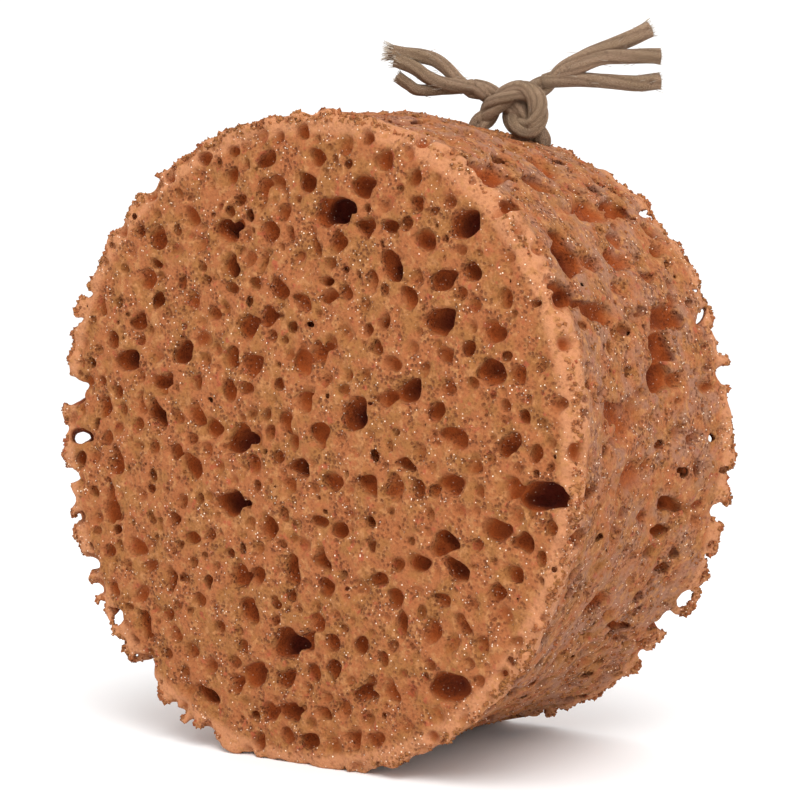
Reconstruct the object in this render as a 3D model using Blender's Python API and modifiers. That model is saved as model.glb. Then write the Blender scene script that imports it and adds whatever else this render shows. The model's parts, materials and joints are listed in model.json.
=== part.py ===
"""A round bath sponge: a thick disc of open-cell foam that stands on its rim, with a knotted twine.

The disc's axis is Y and its front face looks along -Y. The origin is on the surface that the
sponge stands on, under the middle of the disc.
"""
import math
import random

import bmesh
import bpy
from mathutils import Matrix, Vector

MM = 0.001
NAME = "bath_sponge"

# The disc
RADIUS = 66.0 * MM
THICKNESS = 61 * MM
AXIS_HEIGHT = 64.2 * MM          # the disc is pressed flat under its axis, so this is less than RADIUS
EDGE_ROUND = 1.2 * MM
FACE_CROWN = 0.7 * MM            # how far each face stands out in the middle
BACK_SMALLER = 1.6 * MM          # the back face's radius is this much less than the front's
# Waves of the front rim, the back rim and the wall's draw-in between them, fitted to the outline:
# how many there are in one turn, their height, and where one of them crests, in degrees.
FRONT_LOBES = ((2, 0.46 * MM, 53), (3, 0.37 * MM, 47), (4, 0.36 * MM, 43))
BACK_LOBES = ((1, 0.42 * MM, 32), (2, 0.80 * MM, 105), (3, 0.79 * MM, 43))
WAIST = 0.95 * MM                # how far the wall draws in half way along the axis
WAIST_LOBES = ((1, 2.5 * MM, 142), (2, 0.9 * MM, 95))
SPIN_STEPS = 60

# Open pores on the front face, read off the photograph: x, height over the axis, half width,
# half height, in mm, and the tilt in degrees. The last four break through the rim.
FACE_PORES = (
    (9.1, 45.6, 4.5, 2.6, -10), (15.9, 50.7, 3.2, 1.8, 0), (-7.7, 56.5, 2.2, 2.0, 0),
    (4.7, 56.4, 2.2, 2.0, 0), (-19.1, 42.5, 2.9, 2.0, 0), (-17.0, 35.0, 2.4, 2.0, -40),
    (-6.6, 42.3, 2.0, 2.3, 0), (-38.0, 41.0, 2.4, 2.2, 0), (22.9, 34.7, 2.2, 2.7, 0),
    (39.8, 43.2, 3.0, 2.7, 0), (34.5, 25.0, 2.9, 2.8, 0), (34.5, 33.2, 2.9, 2.0, 0),
    (-46.2, 15.7, 3.2, 2.3, 0), (-30.3, 17.3, 2.4, 2.6, 0), (-17.1, 16.8, 2.0, 2.6, 0),
    (-42.7, 24.1, 2.2, 1.9, 0), (-35.9, 11.4, 3.4, 2.0, 0), (27.7, 11.8, 2.6, 2.4, 0),
    (2.3, 9.5, 2.0, 2.3, 0), (14.5, 5.9, 3.4, 2.8, 0), (-37.5, 4.6, 2.6, 2.1, 0),
    (-26.4, 5.0, 2.2, 2.0, 0), (-15.0, 0.0, 2.6, 2.1, 0), (-52.7, 5.6, 2.0, 2.2, 0),
    (0.9, -4.5, 2.8, 2.1, 0), (17.5, -7.3, 2.0, 1.9, 0), (37.7, 2.3, 2.3, 2.0, 0),
    (50.0, 2.7, 2.2, 2.0, 0), (-17.5, -12.9, 3.2, 2.8, 0), (-51.4, -15.9, 2.0, 3.2, 0),
    (35.5, -16.4, 2.9, 2.3, 0), (47.3, -14.0, 2.6, 2.0, 0), (38.2, -22.4, 2.3, 2.4, 0),
    (29.0, -21.6, 2.5, 2.1, 0), (6.6, -22.0, 1.8, 2.4, 0), (-15.0, -27.3, 2.2, 2.5, 0),
    (-27.3, -6.0, 2.3, 2.4, 0), (-7.3, -17.3, 2.3, 2.0, 0), (-12.9, -34.6, 2.2, 2.3, 0),
    (-3.2, -40.2, 3.4, 2.7, 0), (-42.0, -40.0, 2.0, 3.0, 0), (-11.8, -47.9, 3.2, 2.2, 0),
    (-24.5, -52.7, 2.6, 1.9, 0), (36.8, -44.5, 3.8, 3.2, 0), (22.9, -46.2, 2.1, 2.2, 0),
    (46.4, 16.2, 2.6, 2.4, 0), (45.8, 24.0, 2.7, 1.9, 0), (-34.0, -29.5, 1.8, 2.5, 0),
    (-26.0, -20.7, 2.3, 1.8, 0), (16.2, -53.0, 3.0, 1.7, 0), (-62.8, 8.5, 3.4, 2.2, 0),
    (-39.6, 51.6, 3.2, 2.0, 20), (-57.6, -28.6, 2.8, 2.2, 30), (57.6, -6.8, 4.4, 2.6, 0),
)
# Open pores on the rim's wall, read off the photograph: degrees from the top towards +X, place
# along the axis from the disc's middle, half width round the rim, half width along the axis, in mm.
WALL_PORES = (
    (55.5, -16.6, 4.5, 5.6), (64.0, -21.5, 2.4, 5.0), (37.0, -22.5, 3.4, 4.6),
    (75.0, 5.0, 4.6, 5.6), (55.5, 2.7, 2.6, 4.2), (45.0, 4.5, 3.0, 5.6), (84.0, -11.5, 3.6, 7.0),
    (95.0, -3.5, 3.0, 5.4), (95.3, -22.6, 2.0, 2.2), (109.5, -21.8, 2.0, 2.4),
    (101.0, 12.0, 2.2, 4.2), (127.5, 10.0, 2.2, 4.4), (119.5, -5.2, 2.2, 5.0),
    (137.5, -14.0, 2.0, 5.6), (66.0, 16.5, 3.0, 4.6), (39.5, -9.5, 3.0, 4.0),
    (33.0, 6.0, 3.0, 4.6), (112.5, 21.0, 2.2, 3.2), (88.5, 18.4, 2.2, 3.4),
)
PORE_SINK = 0.30                 # a pore's centre lies this share of its width under the surface
PORE_DEPTH = 1.25                # and it is this much deeper than its mean half width
BIG_PORE = 2.9 * MM              # from this mean half width a pore has more faces
BIG_PORE_SIDES, BIG_PORE_RINGS = 10, 4
PORE_SIDES, PORE_RINGS = 8, 3

# Pores of the same sizes where the photograph doesn't reach
BACK_PORES = 38
HIDDEN_WALL_PORES = 17
HIDDEN_WALL = (152, 382)         # the part of the rim that they lie on, in degrees
PORE_SEED = 11
PORE_CLEAR = 1.25                # least distance of two pores, over the sum of their half widths
FOOT_CLEAR = 19                  # no wall pore within this many degrees of the foot

# The twine
TWINE = 4.2 * MM
STRAND = 2.7 * MM                # one strand of an opened end
KNOT = Vector((21.6, 17.4, 67.35)) * MM    # the knot's middle, from the disc's middle
KNOT_TURN = 36.64                # the knot's flat side faces this far round from -Y towards +X
# The stretch under the foam, from the left leg to the right one: degrees from the top towards +X,
# distance from the disc's axis and place along it, in mm.
BURIED = (
    (11.5, 66.2, 13.6), (11.5, 63.0, 13.8), (12.1, 59.7, 14.6), (14.1, 57.7, 16.5), (17.2, 57.7, 19.2),
    (19.5, 59.5, 21.4), (20.3, 62.7, 22.3), (20.3, 65.4, 22.4),
)
# Routes over the foam in mm from the knot's middle: right, up, and out of its flat side.
LEFT_LEG_TO_RIGHT_TAIL = (
    (-7.6, -0.8, -2.2), (-6.0, 1.4, -0.2), (-3.4, 3.4, 1.5), (-0.4, 4.6, 1.9), (2.4, 2.7, 2.0),
    (3.1, -0.4, 2.2), (1.7, -3.3, 2.0), (-0.9, -3.1, 0.6), (-2.0, -0.6, -1.8), (-0.4, 2.2, -3.2),
    (2.6, 4.6, -2.8), (5.2, 6.6, -1.6), (8.2, 9.0, -0.6), (12.4, 11.4, 0.2), (16.3, 12.9, 0.6),
    (20.8, 14.6, 0.8), (26.3, 17.2, 0.8),
)
RIGHT_LEG_TO_LEFT_TAIL = (
    (3.3, -4.6, -1.2), (1.8, -1.8, -0.6), (-0.8, 0.6, -0.4), (-3.8, 2.6, -1.6), (-7.1, 4.1, -1.8),
    (-10.7, 5.2, -1.2), (-13.6, 6.8, -0.6), (-15.8, 9.0, -0.2), (-18.3, 10.7, 0.2), (-21.4, 11.6, 0.4),
    (-24.9, 12.0, 0.4), (-27.9, 12.4, 0.4),
)
# Strands that have come out of the twist: width and route from where they part.
LOOSE_STRANDS = (
    (STRAND, ((6.4, 6.2, -0.8), (11.1, 9.0, 0.8), (16.3, 11.1, 1.6), (21.6, 11.4, 1.8), (28.3, 11.5, 1.2))),
    (STRAND, ((6.0, 5.2, -1.0), (11.1, 6.8, 0.2), (16.3, 6.4, 0.8), (23.0, 6.0, 0.8), (28.4, 6.4, 0.6))),
    (STRAND, ((-12.2, 5.2, -0.6), (-16.3, 5.8, 1.0), (-19.6, 7.0, 1.6), (-22.6, 9.0, 1.8), (-26.6, 10.6, 1.4))),
    (0.8 * STRAND, ((-16.9, 4.8, 0.0), (-20.8, 4.5, 0.4), (-23.8, 5.7, 0.8), (-26.2, 7.3, 1.0))),
)
ROUTE_STEPS = 2
TUNNEL_CLEAR = 1.6 * MM          # how much wider the hole through the foam is than the twine
DENTED = 2                       # places at the start of each leg that lie in a dent of the foam
KNOT_UNDERSIDE = slice(5, 9)     # and those of the first route that press in under the knot
TWINE_VOXEL = 0.55 * MM
TWINE_FACES = 1300


def make_material(name, color, roughness):
    """A plain principled material of one colour."""
    material = bpy.data.materials.new(name)
    material.use_nodes = True
    shader = material.node_tree.nodes["Principled BSDF"]
    shader.inputs["Base Color"].default_value = (*color, 1)
    shader.inputs["Roughness"].default_value = roughness
    shader.inputs["Metallic"].default_value = 0
    material.diffuse_color = (*color, 1)
    return material


def add_object(name, mesh, collection):
    """A mesh as an object of one collection."""
    thing = bpy.data.objects.new(name, mesh)
    collection.objects.link(thing)
    return thing


def make_cutter(thing):
    """Show an object as a wire cutter that isn't part of the sponge."""
    thing.hide_render = True
    thing.display_type = "WIRE"


def waves(lobes, turn):
    """The sum of some waves round the disc at an angle in degrees."""
    return sum(height * math.cos(count * math.radians(turn - crest)) for count, height, crest in lobes)


def rim_radius(turn, across):
    """The rim's radius at degrees from the top towards +X, and across, from -1 front to 1 back."""
    front = RADIUS + waves(FRONT_LOBES, turn)
    back = RADIUS - BACK_SMALLER + waves(BACK_LOBES, turn)
    waist = WAIST + waves(WAIST_LOBES, turn)
    return front * (1 - across) / 2 + back * (1 + across) / 2 - waist * (1 - across ** 2)


def disc_profile():
    """Half of a plain disc's section: distance from the axis and place along it, front to back."""
    half = THICKNESS / 2
    flat = RADIUS - EDGE_ROUND
    corner = [
        (flat + EDGE_ROUND * math.sin(a), half - EDGE_ROUND + EDGE_ROUND * math.cos(a))
        for a in (math.radians(d) for d in (0, 30, 60, 90))
    ]
    face = [(flat * share, half) for share in (0, 0.36, 0.7)]
    front = [(r, -y) for r, y in face + corner]
    wall = [(RADIUS, half * share) for share in (-0.5, 0, 0.5)]
    return front + wall + [(r, y) for r, y in reversed(face + corner)]


def make_disc(collection):
    """The uncut disc: a turned section, whose rim and faces are then shaped."""
    outline = bpy.data.meshes.new("disc_outline")
    points = [(r, y, 0) for r, y in disc_profile()]
    outline.from_pydata(points, [(i, i + 1) for i in range(len(points) - 1)], [])
    turned = add_object("disc_outline", outline, collection)
    screw = turned.modifiers.new("turn", "SCREW")
    screw.axis = "Y"
    screw.steps = screw.render_steps = SPIN_STEPS
    screw.use_merge_vertices = True
    screw.merge_threshold = 0.01 * MM
    evaluated = turned.evaluated_get(bpy.context.evaluated_depsgraph_get())
    mesh = bpy.data.meshes.new_from_object(evaluated)
    bpy.data.objects.remove(turned)

    bm = bmesh.new()
    bm.from_mesh(mesh)
    bmesh.ops.remove_doubles(bm, verts=bm.verts, dist=0.01 * MM)
    bmesh.ops.recalc_face_normals(bm, faces=bm.faces)
    for vert in bm.verts:
        x, y, z = vert.co
        reach = math.hypot(x, z)
        across = max(-1, min(1, 2 * y / THICKNESS))
        swell = rim_radius(math.degrees(math.atan2(x, z)), across) / RADIUS
        crown = FACE_CROWN * (1 - min(1, reach / RADIUS) ** 2) * across ** 9
        vert.co = (x * swell, y + crown, z * swell + AXIS_HEIGHT)
    bm.to_mesh(mesh)
    bm.free()
    mesh.name = "sponge"
    mesh.shade_smooth()
    mesh.set_sharp_from_angle(angle=math.radians(35))
    return add_object("sponge", mesh, collection)


def add_pore(bm, center, outward, around, half_width, half_height):
    """An ellipsoid with its middle just under a surface that faces outward."""
    mean = (half_width * half_height) ** 0.5
    along = outward.cross(around)
    frame = Matrix((around, along, outward)).transposed().to_4x4()
    place = Matrix.Translation(center - outward * PORE_SINK * mean) @ frame
    size = Matrix.Diagonal((half_width, half_height, mean * PORE_DEPTH, 1))
    sides, rings = (BIG_PORE_SIDES, BIG_PORE_RINGS) if mean > BIG_PORE else (PORE_SIDES, PORE_RINGS)
    widest_ring = math.sin(math.pi * (rings // 2) / rings) * math.cos(math.pi / 2 / sides)
    bmesh.ops.create_uvsphere(
        bm, u_segments=sides, v_segments=rings, radius=1 / widest_ring, matrix=place @ size
    )


def add_face_pore(bm, x, height, half_width, half_height, tilt, side):
    """A pore in the front face, side -1, or the back face, side 1, with sizes in mm."""
    y = side * (THICKNESS / 2 + FACE_CROWN * (1 - (x ** 2 + height ** 2) * MM ** 2 / RADIUS ** 2))
    center = Vector((x * MM, y, height * MM + AXIS_HEIGHT))
    a = math.radians(tilt)
    around = Vector((math.cos(a), 0, math.sin(a)))
    add_pore(bm, center, Vector((0, side, 0)), around, half_width * MM, half_height * MM)


def add_wall_pore(bm, turn, y, half_width, half_height):
    """A pore in the rim's wall, with sizes in mm."""
    a = math.radians(turn)
    radius = rim_radius(turn, 2 * y * MM / THICKNESS)
    outward = Vector((math.sin(a), 0, math.cos(a)))
    around = Vector((math.cos(a), 0, -math.sin(a)))
    center = outward * radius + Vector((0, y * MM, AXIS_HEIGHT))
    add_pore(bm, center, outward, around, half_width * MM, half_height * MM)


def scatter(rng, count, pick, distance):
    """Draw that many pores, each clear of those before it."""
    placed = []
    while len(placed) < count:
        pore = pick(rng)
        if all(distance(pore, other) > PORE_CLEAR for other in placed):
            placed.append(pore)
    return placed


def pick_back_pore(rng):
    """A pore anywhere on the back face that stays off its edge."""
    size = rng.choice((2.0, 2.2, 2.4, 2.7, 3.4))
    reach = (RADIUS / MM - EDGE_ROUND / MM - size - 2) * math.sqrt(rng.random())
    a = rng.uniform(0, 2 * math.pi)
    return reach * math.cos(a), reach * math.sin(a), size * rng.uniform(1.0, 1.3), size * 0.9


def back_distance(one, other):
    """Distance of two back pores over the sum of their half widths."""
    return math.hypot(one[0] - other[0], one[1] - other[1]) / (one[2] + other[2])


def pick_wall_pore(rng):
    """A pore on the side of the rim that the photograph doesn't show, off the foot."""
    turn = rng.uniform(*HIDDEN_WALL)
    while abs(turn - 180) < FOOT_CLEAR:
        turn = rng.uniform(*HIDDEN_WALL)
    size = rng.choice((2.0, 2.3, 2.6, 3.2))
    return turn, rng.uniform(-20, 20), size, size * rng.uniform(1.2, 2.0)


def wall_distance(one, other):
    """Distance of two wall pores over the sum of their half widths."""
    round_rim = math.radians(one[0] - other[0]) * RADIUS / MM
    return max(abs(round_rim) / (one[2] + other[2]), abs(one[1] - other[1]) / (one[3] + other[3]))


def make_pores(collection):
    """All the pores as one cutter."""
    bm = bmesh.new()
    for x, height, half_width, half_height, tilt in FACE_PORES:
        add_face_pore(bm, x, height, half_width, half_height, tilt, -1)
    for pore in WALL_PORES:
        add_wall_pore(bm, *pore)
    rng = random.Random(PORE_SEED)
    for x, height, half_width, half_height in scatter(rng, BACK_PORES, pick_back_pore, back_distance):
        add_face_pore(bm, x, height, half_width, half_height, 0, 1)
    for pore in scatter(rng, HIDDEN_WALL_PORES, pick_wall_pore, wall_distance):
        add_wall_pore(bm, *pore)
    mesh = bpy.data.meshes.new("pores")
    bm.to_mesh(mesh)
    bm.free()
    cutter = add_object("pores", mesh, collection)
    make_cutter(cutter)
    return cutter


def make_floor(collection):
    """A block under the sponge, which presses its foot flat."""
    bm = bmesh.new()
    bmesh.ops.create_cube(bm, size=1)
    bmesh.ops.scale(bm, vec=(3 * RADIUS, 3 * THICKNESS, RADIUS), verts=bm.verts)
    bmesh.ops.translate(bm, vec=(0, 0, -RADIUS / 2), verts=bm.verts)
    mesh = bpy.data.meshes.new("foot_cut")
    bm.to_mesh(mesh)
    bm.free()
    cutter = add_object("foot_cut", mesh, collection)
    make_cutter(cutter)
    return cutter


def from_axis(point):
    """A place given by degrees from the top, distance from the disc's axis and place along it."""
    turn, reach, y = point
    a = math.radians(turn)
    return Vector((reach * math.sin(a) * MM, y * MM, reach * math.cos(a) * MM + AXIS_HEIGHT))


def from_knot(point):
    """A place given in the knot's own plane."""
    right, up, out = point
    a = math.radians(KNOT_TURN)
    across = Vector((math.cos(a), math.sin(a), 0))
    toward = Vector((math.sin(a), -math.cos(a), 0))
    offset = across * right + Vector((0, 0, up)) + toward * out
    return KNOT + Vector((0, 0, AXIS_HEIGHT)) + offset * MM


def smooth_route(places, steps):
    """Points on a Catmull-Rom curve through the given places."""
    places = [2 * places[0] - places[1], *places, 2 * places[-1] - places[-2]]
    route = []
    for i in range(1, len(places) - 2):
        before, start, end, after = places[i - 1:i + 3]
        for step in range(steps):
            t = step / steps
            route.append(0.5 * (
                2 * start + (end - before) * t
                + (2 * before - 5 * start + 4 * end - after) * t ** 2
                + (3 * start - before - 3 * end + after) * t ** 3
            ))
    return route + [places[-2]]


def make_tube(name, places, width, collection):
    """A round tube along a smooth route through some places, as a closed mesh."""
    curve = bpy.data.curves.new(name, "CURVE")
    curve.dimensions = "3D"
    curve.bevel_depth = width / 2
    curve.bevel_resolution = 2
    curve.use_fill_caps = True
    route = smooth_route(places, ROUTE_STEPS)
    spline = curve.splines.new("POLY")
    spline.points.add(len(route) - 1)
    for point, place in zip(spline.points, route):
        point.co = (*place, 1)
    drawn = add_object(name, curve, collection)
    evaluated = drawn.evaluated_get(bpy.context.evaluated_depsgraph_get())
    mesh = bpy.data.meshes.new_from_object(evaluated)
    bpy.data.objects.remove(drawn)
    bm = bmesh.new()
    bm.from_mesh(mesh)
    bmesh.ops.remove_doubles(bm, verts=bm.verts, dist=0.001 * MM)
    bmesh.ops.recalc_face_normals(bm, faces=bm.faces)
    bm.to_mesh(mesh)
    bm.free()
    return mesh


def make_tunnel(collection):
    """The hole that the twine runs through, with the dents in which its two legs lie."""
    left_leg = [from_knot(point) for point in LEFT_LEG_TO_RIGHT_TAIL[:DENTED]]
    right_leg = [from_knot(point) for point in RIGHT_LEG_TO_LEFT_TAIL[:DENTED]]
    places = left_leg[::-1] + [from_axis(point) for point in BURIED] + right_leg
    cutter = add_object("tunnel", make_tube("tunnel", places, TWINE + TUNNEL_CLEAR, collection), collection)
    make_cutter(cutter)
    return cutter


def make_knot_dent(collection):
    """The dent that the knot's underside presses into the rim."""
    places = [from_knot(point) for point in LEFT_LEG_TO_RIGHT_TAIL[KNOT_UNDERSIDE]]
    mesh = make_tube("knot_dent", places, TWINE + TUNNEL_CLEAR, collection)
    cutter = add_object("knot_dent", mesh, collection)
    make_cutter(cutter)
    return cutter


def make_twine(collection):
    """The twine with its knot and opened ends, grown together into one closed surface."""
    right_tail = [from_knot(point) for point in LEFT_LEG_TO_RIGHT_TAIL]
    left_tail = [from_knot(point) for point in RIGHT_LEG_TO_LEFT_TAIL]
    buried = [from_axis(point) for point in BURIED]
    routes = [(right_tail[::-1] + buried + left_tail, TWINE)]
    routes += [([from_knot(point) for point in route], width) for width, route in LOOSE_STRANDS]
    bm = bmesh.new()
    for route, width in routes:
        tube = make_tube("twine", route, width, collection)
        bm.from_mesh(tube)
        bpy.data.meshes.remove(tube)
    mesh = bpy.data.meshes.new("twine")
    bm.to_mesh(mesh)
    bm.free()
    twine = add_object("twine", mesh, collection)
    remesh = twine.modifiers.new("grow together", "REMESH")
    remesh.mode = "VOXEL"
    remesh.voxel_size = TWINE_VOXEL
    remesh.use_smooth_shade = True
    fine = twine.evaluated_get(bpy.context.evaluated_depsgraph_get()).to_mesh()
    fine.calc_loop_triangles()
    thin = twine.modifiers.new("fewer faces", "DECIMATE")
    thin.ratio = TWINE_FACES / len(fine.loop_triangles)
    return twine


def cut(thing, cutters):
    """Cut an object with each cutter in turn."""
    for cutter in cutters:
        boolean = thing.modifiers.new(cutter.name, "BOOLEAN")
        boolean.operation = "DIFFERENCE"
        boolean.solver = "EXACT"
        boolean.use_self = cutter.name == "pores"
        boolean.object = cutter


def main():
    """Build the sponge and its twine in an empty scene."""
    for thing in list(bpy.data.objects):
        bpy.data.objects.remove(thing)
    parts = bpy.data.collections.new(NAME)
    cutters = bpy.data.collections.new("cutters")
    for collection in (parts, cutters):
        bpy.context.scene.collection.children.link(collection)

    sponge = make_disc(parts)
    hollows = (make_floor, make_pores, make_tunnel, make_knot_dent)
    cut(sponge, [make(cutters) for make in hollows])
    sponge.data.materials.append(make_material("orange_brown_foam", (0.39, 0.13, 0.055), 0.9))
    twine = make_twine(parts)
    twine.data.materials.append(make_material("jute", (0.32, 0.21, 0.13), 0.85))


main()
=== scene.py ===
import itertools
import json
import math
import random

import bpy
import numpy as np
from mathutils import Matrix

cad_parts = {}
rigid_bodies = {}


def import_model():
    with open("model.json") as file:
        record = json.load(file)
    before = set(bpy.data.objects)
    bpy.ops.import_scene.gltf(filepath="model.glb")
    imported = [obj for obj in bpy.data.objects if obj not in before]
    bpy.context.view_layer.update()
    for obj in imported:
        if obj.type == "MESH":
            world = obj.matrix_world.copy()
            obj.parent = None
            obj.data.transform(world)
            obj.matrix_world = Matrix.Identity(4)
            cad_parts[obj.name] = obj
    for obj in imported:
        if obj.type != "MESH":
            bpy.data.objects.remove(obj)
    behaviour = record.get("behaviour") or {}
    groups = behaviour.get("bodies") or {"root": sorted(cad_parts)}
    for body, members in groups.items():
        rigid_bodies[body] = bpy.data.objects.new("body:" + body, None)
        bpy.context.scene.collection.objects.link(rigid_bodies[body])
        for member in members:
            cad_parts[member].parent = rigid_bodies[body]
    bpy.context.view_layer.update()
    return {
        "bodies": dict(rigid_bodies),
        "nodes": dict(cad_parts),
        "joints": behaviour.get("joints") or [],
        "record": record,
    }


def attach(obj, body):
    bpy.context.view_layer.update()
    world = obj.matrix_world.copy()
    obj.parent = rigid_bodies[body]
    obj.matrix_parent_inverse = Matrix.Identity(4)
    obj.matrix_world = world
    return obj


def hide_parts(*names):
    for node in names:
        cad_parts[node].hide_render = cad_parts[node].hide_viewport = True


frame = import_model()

import openvdb
from mathutils import Vector

# Lengths are in mm here, and MM turns them into the frame's metres.
MM = 0.001

# The disc of foam, as the solid has it
RADIUS = 66.0
THICKNESS = 61.0
BACK_Y = THICKNESS / 2  # the back face's place, and the front's is -BACK_Y
AXIS_HEIGHT = 64.2
MIDDLE = Vector((0, 0, AXIS_HEIGHT))
EDGE_ROUND = 1.2
FACE_CROWN = 0.7
BACK_SMALLER = 1.6
FRONT_LOBES = ((2, 0.46, 53), (3, 0.37, 47), (4, 0.36, 43))
BACK_LOBES = ((1, 0.42, 32), (2, 0.80, 105), (3, 0.79, 43))
WAIST = 0.95
WAIST_LOBES = ((1, 2.5, 142), (2, 0.9, 95))

# The fine surface
VOXEL = 0.45
FOAM_PIECES = ("sponge_foam_front", "sponge_foam_wall", "sponge_foam_back")
PIECE_TRIANGLES = 190000
FIELD_MARGIN = 3.0  # room round the disc in the distance field,
CARVE_MARGIN = 1.5  # and round what is carved out of it
FIELD_OUTSIDE = 3.0  # the distance that stands for every place outside the field
NOISE_KNOTS = 2.4  # the knots' reach that gives a smooth noise of about -1 to 1
PORE_WARPS = ((0.60, 2.8), (0.24, 1.2))  # how far a pore's outline wanders, and over what length
PORE_ROUND = 1.0  # over how far a pore's edge is rounded,
PORE_ROUND_SHARE = 0.5  # and at most this share of its least half width
CUT_ROUGH = 0.24  # unevenness of the cut surfaces
WALL_ROUGH = 0.55  # and of the wall between the rims, over a longer way
WALL_SIZE = 6.0
RIM_RAGGED = 1.0  # and of the two rims
RIM_RAGGED_DEPTH = 4.0
RIM_PROUD = 0.05  # the torn rims stand out this much more than they fall back,
WALL_PROUD = 0.5  # and the wall by at least this share of it
ROUGH_SIZE = 2.2
GRAIN_ROUGH, GRAIN_SIZE = 0.16, 1.1  # finer unevenness over everything
LIP_ROUND = 2.8  # the front's upper right edge is this much rounder than the rest,
LIP_TURN = 50  # most of all here, and less and less to both sides
LIP_FALL, LIP_LESS = 1.6, 0.6

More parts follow.
